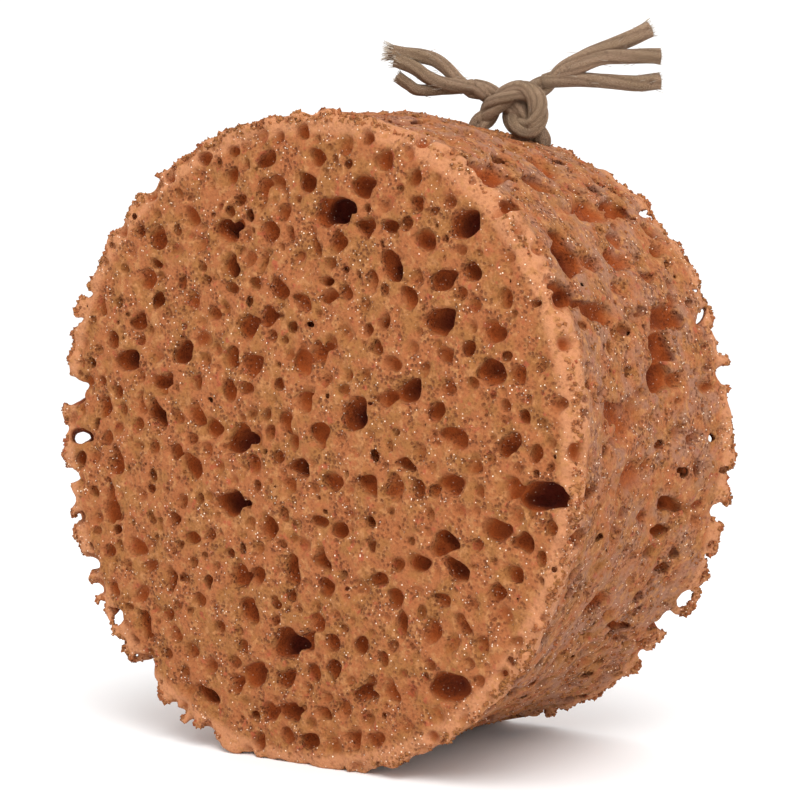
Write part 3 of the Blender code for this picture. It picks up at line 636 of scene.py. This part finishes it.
def large_mesh(name, places, corners):
    """A mesh from points in mm and from faces that all have the same number of corners."""
    mesh = bpy.data.meshes.new(name)
    mesh.vertices.add(len(places))
    mesh.vertices.foreach_set("co", (places * MM).astype(np.float32).ravel())
    count, sides = corners.shape
    mesh.loops.add(count * sides)
    mesh.loops.foreach_set("vertex_index", corners.astype(np.int32).ravel())
    mesh.polygons.add(count)
    mesh.polygons.foreach_set("loop_start", np.arange(0, count * sides, sides, dtype=np.int32))
    mesh.update(calc_edges=True)
    return mesh


def rows(items, name, kind):
    """One property of all items of a mesh, three numbers to a row."""
    values = np.empty(len(items) * 3, kind)
    items.foreach_get(name, values)
    return values.reshape(-1, 3)


def foam_surface():
    """The foam's surface: points in mm, their normals, and the corners of its triangles."""
    field, low = foam_field()
    grid = openvdb.FloatGrid(FIELD_OUTSIDE)
    grid.copyFromArray(np.ascontiguousarray(field))
    points, _, quads = grid.convertToPolygons(isovalue=0.0, adaptivity=0.0)
    fine = new_object("fine", large_mesh("fine", points * VOXEL + low, quads[:, ::-1]))
    thin = fine.modifiers.new("thin", "DECIMATE")
    thin.ratio = min(1, len(FOAM_PIECES) * PIECE_TRIANGLES / (2 * len(quads)))
    evaluated = fine.evaluated_get(bpy.context.evaluated_depsgraph_get())
    surface = bpy.data.meshes.new_from_object(evaluated)
    bpy.data.objects.remove(fine)
    surface.calc_loop_triangles()
    places = rows(surface.vertices, "co", np.float32) / MM
    normals = rows(surface.vertex_normals, "vector", np.float32)
    corners = rows(surface.loop_triangles, "vertices", np.int32)
    bpy.data.meshes.remove(surface)
    print("foam: fine quads", len(quads), "triangles kept", len(corners))
    return places, normals, corners


def rim_shares(places):
    """How near each point is to the edge of either rim, 0 to 1, which sets the painted highlight there, and
    whether it is on the wall.
    """
    x, y, z = places.T
    height = z - AXIS_HEIGHT
    rim = rim_radius(np.arctan2(x, height), np.clip(2 * y / THICKNESS, -1, 1))
    under_rim = np.maximum(0, rim - np.hypot(x, height))
    under_face = np.maximum(0, BACK_Y - np.abs(y))
    edge_highlight = np.clip(1 - np.hypot(under_rim, under_face) / LIP_WIDTH, 0, 1)
    return edge_highlight, under_face > under_rim


def make_sponge():
    """The foam in pieces from front to back, each with the shares that its material reads."""
    places, normals, corners = foam_surface()
    edge_highlight, wall = rim_shares(places)
    # how deep a point lies sets the painted shade in the pores, and its nearness to a rim's edge the
    # painted highlight there
    shares = {"pore_depth": np.maximum(0, -disc_distance(*places.T)), "edge_highlight": edge_highlight, "wall": wall}
    material = foam_material()
    order = np.argsort(places[corners, 1].mean(1), kind="stable")
    for name, chosen in zip(FOAM_PIECES, np.array_split(order, len(FOAM_PIECES))):
        used, ends = np.unique(corners[chosen].ravel(), return_inverse=True)
        mesh = large_mesh(name, places[used], ends.reshape(-1, 3))
        mesh.shade_smooth()
        mesh.normals_split_custom_set_from_vertices(normals[used])
        for share, values in shares.items():
            layer = mesh.attributes.new(share, "FLOAT", "POINT")
            layer.data.foreach_set("value", values[used].astype(np.float32))
        mesh.materials.append(material)
        piece = new_object(name, mesh)
        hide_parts("sponge")
        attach(piece, "root")
    make_crumbs(places[corners], material)


def mesh_piece(name, places, faces, material, uvs=None, shade=None):
    """A smooth mesh piece from points in mm, with its fibre map and its painted shade."""
    mesh = bpy.data.meshes.new(name)
    mesh.from_pydata([tuple(p) for p in np.asarray(places) * MM], [], faces)
    mesh.shade_smooth()
    if uvs is not None:
        layer = mesh.uv_layers.new(name="fibre")
        layer.data.foreach_set("uv", np.array(uvs, np.float32).ravel())
    if shade is not None:
        painted_shade = mesh.attributes.new("shade", "FLOAT", "POINT")
        painted_shade.data.foreach_set("value", np.array(shade, np.float32))
    mesh.materials.append(material)
    piece = new_object(name, mesh)
    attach(piece, "root")
    return piece


def reaches(line):
    """How far along a line each of its points is."""
    return np.concatenate(((0,), np.cumsum(np.linalg.norm(np.diff(line, axis=0), axis=1))))


def resample(line, step):
    """The same line with a point every step mm or so."""
    line = np.array([tuple(p) for p in line])
    along = reaches(line)
    places = np.linspace(0, along[-1], max(3, round(along[-1] / step) + 1))
    return np.stack([np.interp(places, along, line[:, i]) for i in range(3)], 1)


def frames_along(line):
    """The line's own direction and two across it at each point, carried along without twist."""
    along = np.gradient(line, axis=0)
    along /= np.linalg.norm(along, axis=1)[:, None]
    side = np.cross(along[0], (0.3, 0.2, 1.0))
    sides = []
    for way in along:
        side = side - way * side.dot(way)
        side = side / np.linalg.norm(side)
        sides.append(side)
    sides = np.array(sides)
    return along, sides, np.cross(along, sides)


class Bundle:
    """Tubes collected into one mesh."""

    def __init__(self):
        self.places, self.faces, self.uvs, self.shade = [], [], [], []

    def tube(self, line, radii, sides, ridge=0.0, twist=0.0):
        """A tube round a line: radii at its points, ridges that wind along it, blunt ends."""
        along, first, second = frames_along(line)
        base = len(self.places)
        angle = np.linspace(0, 2 * math.pi, sides, endpoint=False)
        reach = reaches(line)
        radii = np.broadcast_to(np.asarray(radii, float), (len(line),))
        phase = 1.7 * base
        for i, (middle, radius) in enumerate(zip(line, radii)):
            turned = angle + twist * reach[i]
            bulge = 1 + ridge * (np.sin(5 * angle + phase) + 0.7 * np.sin(9 * angle + 2 * phase))
            out = np.cos(turned)[:, None] * first[i] + np.sin(turned)[:, None] * second[i]
            self.places.extend(middle + out * (radius * bulge)[:, None])
            # painted shade where the surface dips between the ridges
            self.shade.extend(GROOVE_SHADE * np.clip(1 - bulge, 0, ridge) / max(ridge, 1e-6))
        around = 2 * math.pi * float(radii.mean())
        for i in range(len(line) - 1):
            for j in range(sides):
                a, b = base + i * sides + j, base + i * sides + (j + 1) % sides
                self.faces.append((a, b, b + sides, a + sides))
                u, v = around * j / sides, around * (j + 1) / sides
                low, high = reach[i] + phase, reach[i + 1] + phase
                self.uvs.extend(((u, low), (v, low), (v, high), (u, high)))
        for ring, way, step in ((0, -1, -along[0]), (len(line) - 1, 1, along[-1])):
            start = base + ring * sides
            middle = len(self.places)
            self.places.append(line[ring] + step * END_BULGE * radii[ring])
            # darker in the middle of the blunt end
            self.shade.append(END_SHADE)
            for j in range(sides):
                a, b = start + j, start + (j + 1) % sides
                self.faces.append((b, a, middle) if way < 0 else (a, b, middle))
                self.uvs.extend(((0, phase), (0.3, phase), (0.15, phase + 2)))

    def piece(self, name, material):
        """The collected tubes as one piece."""
        return mesh_piece(name, self.places, self.faces, material, self.uvs, self.shade)


def knot_share(line):
    """1 inside the knot, 0 clear of it."""
    middle = np.array(KNOT + MIDDLE)
    far = np.linalg.norm(line - middle, axis=1)
    return np.clip((KNOT_REACH + KNOT_FADE - far) / KNOT_FADE, 0, 1)


def plies(line, part_at):
    """The three twisted plies of a cord, up to the place where they part."""
    _, first, second = frames_along(line)
    reach = reaches(line)
    a = math.radians(KNOT_TURN)
    toward = np.array((math.sin(a), -math.cos(a), 0))
    pressed = knot_share(line)[:, None]
    result = []
    for ply in range(3):
        turn = 2 * math.pi * (ply / 3 + reach / TWINE_PITCH)
        off = PLY_OFFSET * (np.cos(turn)[:, None] * first + np.sin(turn)[:, None] * second)
        out = (off @ toward)[:, None] * toward
        off = off - out + out * (1 - KNOT_PRESS * pressed) + KNOT_SPREAD * pressed * (off - out)
        result.append((line + off)[:part_at])
    return result


def join_tail(ply, tail):
    """A ply's end led over into its own loose strand, as a line that starts at the ply's last point."""
    places = [Vector(ply[-1]), *(from_knot(p) for p in tail)]
    return resample(smooth_route(places, ROUTE_STEPS), STRAND_STEP)


def hairs_near(bundle, line, radius, rng, count, length, spread):
    """Loose fibres that stand off a strand at a slant."""
    along, first, second = frames_along(line)
    for _ in range(count):
        i = rng.randrange(2, len(line) - 1)
        turn = rng.uniform(0, 2 * math.pi)
        out = math.cos(turn) * first[i] + math.sin(turn) * second[i]
        way = out * spread + along[i] * rng.choice((-1, 1)) + 0.3 * rng.uniform(-1, 1) * second[i]
        way /= np.linalg.norm(way)
        far = length * rng.uniform(0.4, 1)
        start = line[i] + out * radius
        curl = np.array([rng.uniform(-1, 1) for _ in range(3)]) * far * 0.25
        bend = [start + way * far * t + curl * t * t for t in (0, 0.35, 0.7, 1)]
        bundle.tube(np.array(bend), HAIR * np.array((1, 0.9, 0.7, 0.3)), HAIR_SIDES)


def brush(bundle, line, radius, rng, count, length):
    """The cut end of a strand: fibres that run on past it and spread."""
    along, first, second = frames_along(line)
    for _ in range(count):
        turn, off = rng.uniform(0, 2 * math.pi), radius * math.sqrt(rng.random())
        out = math.cos(turn) * first[-1] + math.sin(turn) * second[-1]
        start = line[-1] + out * off - along[-1] * 0.8
        way = along[-1] + out * rng.uniform(0, 0.35) + 0.12 * rng.uniform(-1, 1) * first[-1]
        far = 0.8 + length * rng.uniform(0.3, 1)
        bend = [start + way * far * t + out * far * 0.12 * t * t for t in (0, 0.5, 1)]
        bundle.tube(np.array(bend), HAIR * np.array((1.3, 1.1, 0.4)), HAIR_SIDES)


def make_cord(name, buried, route, tails, widths, material, hair, rng, brushes):
    """Half of the twine: from inside the foam through its hole and the knot to its opened tail."""
    places = [from_axis(p) for p in buried] + [from_knot(p) for p in route]
    line = resample(smooth_route(places, ROUTE_STEPS), STRAND_STEP)
    parting = np.array(from_knot(tails[0][0]))
    part_at = int(np.argmin(np.linalg.norm(line - parting, axis=1)))
    cord, loose, fibres = Bundle(), Bundle(), Bundle()
    for ply, tail, width, fray in zip(plies(line, part_at), tails, widths, brushes):
        strand = join_tail(ply, tail[1:])
        wide = np.full(len(ply), PLY_RADIUS)
        if tail is tails[0]:
            whole = np.concatenate((ply, strand[1:]))
            radii = np.concatenate((wide, np.linspace(PLY_RADIUS, width / 2, len(strand) - 1)))
            cord.tube(whole, radii, TUBE_SIDES, RIDGE, RIDGE_TWIST)
        else:
            cord.tube(ply, wide, TUBE_SIDES, RIDGE, RIDGE_TWIST)
            radii = np.linspace(PLY_RADIUS, width / 2, len(strand))
            loose.tube(strand, radii, TUBE_SIDES, RIDGE, RIDGE_TWIST)
        hairs_near(fibres, strand, width / 2, rng, *STRAND_HAIRS)
        brush(fibres, strand, width / 2, rng, *fray)
    hairs_near(fibres, line[part_at // 2:part_at], TWINE / 2, rng, *CORD_HAIRS)
    whole = cord.piece(name, material)
    parts = [loose.piece(name + "_strands", material), fibres.piece(name + "_hairs", hair)]
    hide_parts("twine")


def make_twine():
    """The two halves of the knotted twine."""
    rng = random.Random(TWINE_SEED)
    jute, hair = jute_material(), hair_material()
    middle = len(BURIED) // 2
    make_cord(
        "twine_right_tail", BURIED[:middle][::-1], LEFT_LEG_TO_RIGHT_TAIL, RIGHT_TAIL,
        RIGHT_WIDTHS, jute, hair, rng, RIGHT_BRUSHES,
    )
    make_cord(
        "twine_left_tail", BURIED[middle:], RIGHT_LEG_TO_LEFT_TAIL, LEFT_TAIL,
        LEFT_WIDTHS, jute, hair, rng, LEFT_BRUSHES,
    )


def make_crumbs(triangles, material):
    """Crumbs of torn foam along the two rims and, fewer, over the wall, each a bent double cone."""
    cross = np.cross(triangles[:, 1] - triangles[:, 0], triangles[:, 2] - triangles[:, 0])
    area = np.linalg.norm(cross, axis=1) / 2
    normals = cross / np.maximum(2 * area, 1e-9)[:, None]
    middle = triangles.mean(1)
    x, y, z = middle.T
    shallow = disc_distance(x, y, z) > -CRUMB_DEPTH
    reach = np.hypot(x, z - AXIS_HEIGHT)
    under_rim = rim_radius(np.arctan2(x, z - AXIS_HEIGHT), 2 * np.clip(y / THICKNESS, -0.5, 0.5)) - reach
    at_edge = (under_rim < CRUMB_EDGE) & (BACK_Y - np.abs(y) < CRUMB_EDGE)
    on_wall = np.abs(y) < BACK_Y - RIM_WIDTH
    weight = area * shallow * (z > CRUMB_CLEAR) * (at_edge + CRUMB_WALL_SHARE * on_wall)
    rng = np.random.default_rng(TWINE_SEED)
    picks = rng.choice(len(weight), CRUMB_COUNT, p=weight / weight.sum())
    places, faces = [], []
    for pick in picks:
        out = np.array((x[pick], 0, z[pick] - AXIS_HEIGHT)) / reach[pick]
        way = normals[pick] + 0.8 * out + 0.5 * rng.uniform(-1, 1, 3)
        way /= np.linalg.norm(way)
        side = np.cross(way, rng.uniform(-1, 1, 3))
        side /= np.linalg.norm(side)
        other = np.cross(way, side)
        length = rng.uniform(*CRUMB_LENGTH)
        width, thin = length * rng.uniform(*CRUMB_WIDTH, 2)
        foot = middle[pick] - way * 0.3 * length
        base = len(places)
        for turn in (0, 1, 2, 3):
            a = turn * math.pi / 2 + rng.uniform(-0.5, 0.5)
            across = side * (width * math.cos(a)) + other * (thin * math.sin(a))
            places.append(foot + across * rng.uniform(0.7, 1.1) + way * length * rng.uniform(0.1, 0.5))
        lean_over = side * (width * rng.uniform(-0.6, 0.6))
        places.extend((foot - way * 0.2 * length, foot + way * length + lean_over))
        for j in range(4):
            a, b = base + j, base + (j + 1) % 4
            faces += [(b, a, base + 4), (a, b, base + 5)]
    crumbs = mesh_piece("sponge_crumbs", places, faces, material)


class Nodes:
    """Short calls for building one material's node tree."""

    def __init__(self, name):
        self.material = bpy.data.materials.new(name)
        self.material.use_nodes = True
        self.tree = self.material.node_tree
        self.shader = self.tree.nodes["Principled BSDF"]
        self.place = self.add("ShaderNodeTexCoord").outputs["Object"]

    def add(self, kind, inputs=(), **settings):
        """A node with its settings and its inputs, each a value or another node's output."""
        node = self.tree.nodes.new(kind)
        for key, value in settings.items():
            setattr(node, key, value)
        for key, value in dict(inputs).items():
            if isinstance(value, bpy.types.NodeSocket):
                self.tree.links.new(value, node.inputs[key])
            else:
                node.inputs[key].default_value = value
        return node

    def math(self, operation, a, b):
        """One sum, product or comparison."""
        return self.add("ShaderNodeMath", {0: a, 1: b}, operation=operation).outputs[0]

    def times(self, a, b):
        """A product."""
        return self.math("MULTIPLY", a, b)

    def plus(self, a, b):
        """A sum."""
        return self.math("ADD", a, b)

    def rest(self, a):
        """What a share leaves of 1."""
        return self.math("SUBTRACT", 1, a)

    def blend(self, share, a, b, way="MIX"):
        """A colour between two others."""
        node = self.add("ShaderNodeMix", data_type="RGBA", blend_type=way, clamp_factor=True)
        for key, value in ((0, share), (6, a), (7, b)):
            if isinstance(value, bpy.types.NodeSocket):
                self.tree.links.new(value, node.inputs[key])
            else:
                node.inputs[key].default_value = value
        return node.outputs[2]

    def ramp(self, value, low, high):
        """0 below low, 1 over high, and smooth between them."""
        node = self.add(
            "ShaderNodeMapRange", {"Value": value, "From Min": low, "From Max": high},
            interpolation_type="SMOOTHSTEP",
        )
        return node.outputs["Result"]

    def share(self, name):
        """A share that the mesh's points carry."""
        return self.add("ShaderNodeAttribute", attribute_name=name).outputs["Fac"]

    def noise(self, size, detail, roughness=0.55):
        """Noise whose blotches are about that many mm across."""
        node = self.add("ShaderNodeTexNoise", {
            "Vector": self.place, "Scale": 1 / (size * MM), "Detail": detail, "Roughness": roughness,
        })
        return node.outputs["Fac"]

    def cells(self, size):
        """Cells about that many mm across."""
        return self.add("ShaderNodeTexVoronoi", {"Vector": self.place, "Scale": 1 / (size * MM)}).outputs

    def finish(self, body, roughness, specular=0.5, bump=0, height=0):
        """The material with its colour, its gloss and bumps of that many mm."""
        self.tree.links.new(body, self.shader.inputs["Base Color"])
        self.shader.inputs["Roughness"].default_value = roughness
        self.shader.inputs["Specular IOR Level"].default_value = specular
        if bump:
            node = self.add("ShaderNodeBump", {"Strength": 1, "Distance": bump * MM, "Height": height})
            self.tree.links.new(node.outputs["Normal"], self.shader.inputs["Normal"])
        return self.material


def color(red, green, blue):
    """A colour picked in screen values, 0 to 255, as the shader wants it."""
    return tuple(((v / 255 + 0.055) / 1.055) ** 2.4 for v in (red, green, blue)) + (1,)


def foam_material():
    """Orange-brown foam, grainy and mottled on top, with painted shade, red-brown to dark, in its pores and
    small pits, a painted highlight along its rims' edges and painted glints.
    """
    n = Nodes("foam")
    depth = n.share("pore_depth")
    edge_highlight = n.share("edge_highlight")
    wall = n.share("wall")

    top = n.blend(n.ramp(n.noise(5, 2), 0.42, 0.62), color(164, 98, 57), color(156, 101, 54))
    top = n.blend(n.ramp(n.noise(2.2, 2), 0.58, 0.72), top, color(166, 86, 54))
    greyer = n.times(wall, n.ramp(n.noise(6, 2), 0.40, 0.65))
    top = n.blend(n.times(greyer, 0.7), top, color(152, 112, 92))
    # painted highlight: paler along the edges of both rims, with less grain there
    at_edge_highlight = n.times(n.ramp(edge_highlight, 0.0, 0.4), 0.85)
    top = n.blend(at_edge_highlight, top, color(194, 132, 92))
    top = n.blend(n.ramp(n.noise(1.6, 3), 0.50, 0.68), top, color(178, 120, 74))
    # painted shade and painted interreflection: red-brown, then dark, the deeper a point lies under the
    # uncut surface
    deep = n.blend(n.ramp(depth, 1.8, 6.0), color(150, 70, 22), color(86, 22, 1))
    body = n.blend(n.ramp(depth, 0.5, 2.5), top, deep)

    busy = n.ramp(n.noise(4.5, 2), 0.45, 0.60)
    some = n.plus(n.times(busy, 0.6), 0.35)
    some = n.times(some, n.rest(n.times(at_edge_highlight, 0.5)))
    grain = n.rest(n.ramp(n.noise(0.7, 4, 0.7), 0.30, 0.62))
    body = n.blend(n.times(grain, some), body, color(188, 168, 148), "MULTIPLY")
    shallow = n.rest(n.times(n.ramp(depth, 0.5, 3.0), 0.7))
    # painted shade in small pits that are only bumps: a darker brown in each cell's middle
    pit = n.rest(n.ramp(n.cells(0.85)["Distance"], 0.15, 0.50))
    pit = n.times(n.times(pit, some), shallow)
    body = n.blend(n.times(pit, 0.8), body, color(108, 52, 22))

    # painted glints: sparse pale dots in the base colour, fewer in the pores
    glints = n.cells(0.42)
    pick = n.add("ShaderNodeSeparateColor", {"Color": glints["Color"]})
    share = n.plus(n.times(busy, 0.09), 0.03)
    rare = n.math("LESS_THAN", pick.outputs["Red"], share)
    small = n.math("LESS_THAN", glints["Distance"], 0.36)
    glint = n.times(n.times(rare, small), pick.outputs["Green"])
    body = n.blend(n.times(glint, shallow), body, color(255, 230, 204))

    height = n.times(pit, -0.8)
    height = n.plus(height, n.times(n.noise(0.8, 4, 0.7), 0.9))
    height = n.plus(height, n.times(n.noise(0.45, 2), 0.35))
    height = n.plus(height, n.times(n.noise(2.2, 2), 0.7))
    return n.finish(body, roughness=0.9, specular=0.25, bump=0.5, height=height)


def jute_material():
    """Jute: fine fibres along the strand, grey-brown, with painted shade in its grooves and darker in the
    middle of its blunt ends.
    """
    n = Nodes("jute")
    strand = n.add("ShaderNodeUVMap", uv_map="fibre").outputs["UV"]
    mapping = n.add("ShaderNodeMapping", {"Vector": strand, "Scale": (1, FIBRE_STRETCH, 1)})
    stretched = mapping.outputs["Vector"]
    fibres = n.add("ShaderNodeTexNoise", {"Vector": stretched, "Scale": 26, "Detail": 4, "Roughness": 0.6})
    fine = n.add("ShaderNodeTexNoise", {"Vector": stretched, "Scale": 70, "Detail": 2, "Roughness": 0.6})
    body = n.blend(n.ramp(n.noise(7, 2), 0.4, 0.62), color(170, 137, 109), color(151, 122, 92))
    body = n.blend(n.ramp(n.noise(2.5, 2), 0.60, 0.74), body, color(104, 74, 50))
    body = n.blend(n.ramp(fibres.outputs["Fac"], 0.38, 0.56), color(92, 60, 38), body)
    body = n.blend(n.ramp(fine.outputs["Fac"], 0.50, 0.66), body, color(212, 188, 160))
    # painted shade in the grooves, and darker in the middle of the blunt ends
    painted_shade = n.share("shade")
    body = n.blend(painted_shade, body, color(82, 51, 31))
    height = n.plus(fibres.outputs["Fac"], n.times(fine.outputs["Fac"], 0.5))
    return n.finish(body, roughness=0.85, specular=0.3, bump=0.32, height=height)


def hair_material():
    """One dull colour for loose fibres, a little mottled."""
    n = Nodes("jute_hair")
    pale = color(190, 174, 156)
    darker = tuple(0.6 * v for v in pale[:3]) + (1,)
    body = n.blend(n.ramp(n.noise(1.5, 2), 0.35, 0.65), darker, pale)
    return n.finish(body, roughness=0.8)


def make_camera():
    """The photograph's camera."""
    right, up, out = (Vector(axis) for axis in sight_axes())
    eye = MIDDLE + out * VIEW_DISTANCE
    aim = MIDDLE + right * AIM_RIGHT + up * AIM_UP
    data = bpy.data.cameras.new("camera")
    data.lens = LENS
    data.sensor_width = SENSOR
    data.clip_start = 0.01
    camera = new_object("camera", data)
    camera.location = eye * MM
    camera.rotation_euler = (aim - eye).to_track_quat("-Z", "Y").to_euler()
    bpy.context.scene.camera = camera


def make_light(name, turn, rise, distance, size, watts):
    """A square soft light that looks at the disc's middle."""
    way = Vector(direction(turn, rise))
    data = bpy.data.lights.new(name, "AREA")
    data.size = size
    data.energy = watts
    lamp = new_object(name, data)
    lamp.location = way * distance + Vector((0, 0, AXIS_HEIGHT * MM))
    lamp.rotation_euler = (-way).to_track_quat("-Z", "Y").to_euler()


def make_stage():
    """A pale floor under even studio light."""
    bpy.ops.mesh.primitive_plane_add(size=FLOOR_SIZE)
    floor = bpy.context.object
    floor.name = "floor"
    n = Nodes("floor")
    n.shader.inputs["Base Color"].default_value = (FLOOR_GREY, FLOOR_GREY, FLOOR_GREY, 1)
    n.shader.inputs["Roughness"].default_value = 0.8
    floor.data.materials.append(n.material)
    world = bpy.data.worlds.new("studio")
    bpy.context.scene.world = world
    world.use_nodes = True
    background = world.node_tree.nodes["Background"]
    background.inputs["Color"].default_value = (1, 1, 1, 1)
    background.inputs["Strength"].default_value = STUDIO_LIGHT
    make_light("key", turn=40, rise=48, distance=1.1, size=0.7, watts=8)
    make_light("fill", turn=75, rise=30, distance=1.2, size=0.9, watts=1.5)
    bpy.context.scene.view_settings.view_transform = "Standard"


make_camera()
make_stage()
make_sponge()
make_twine()
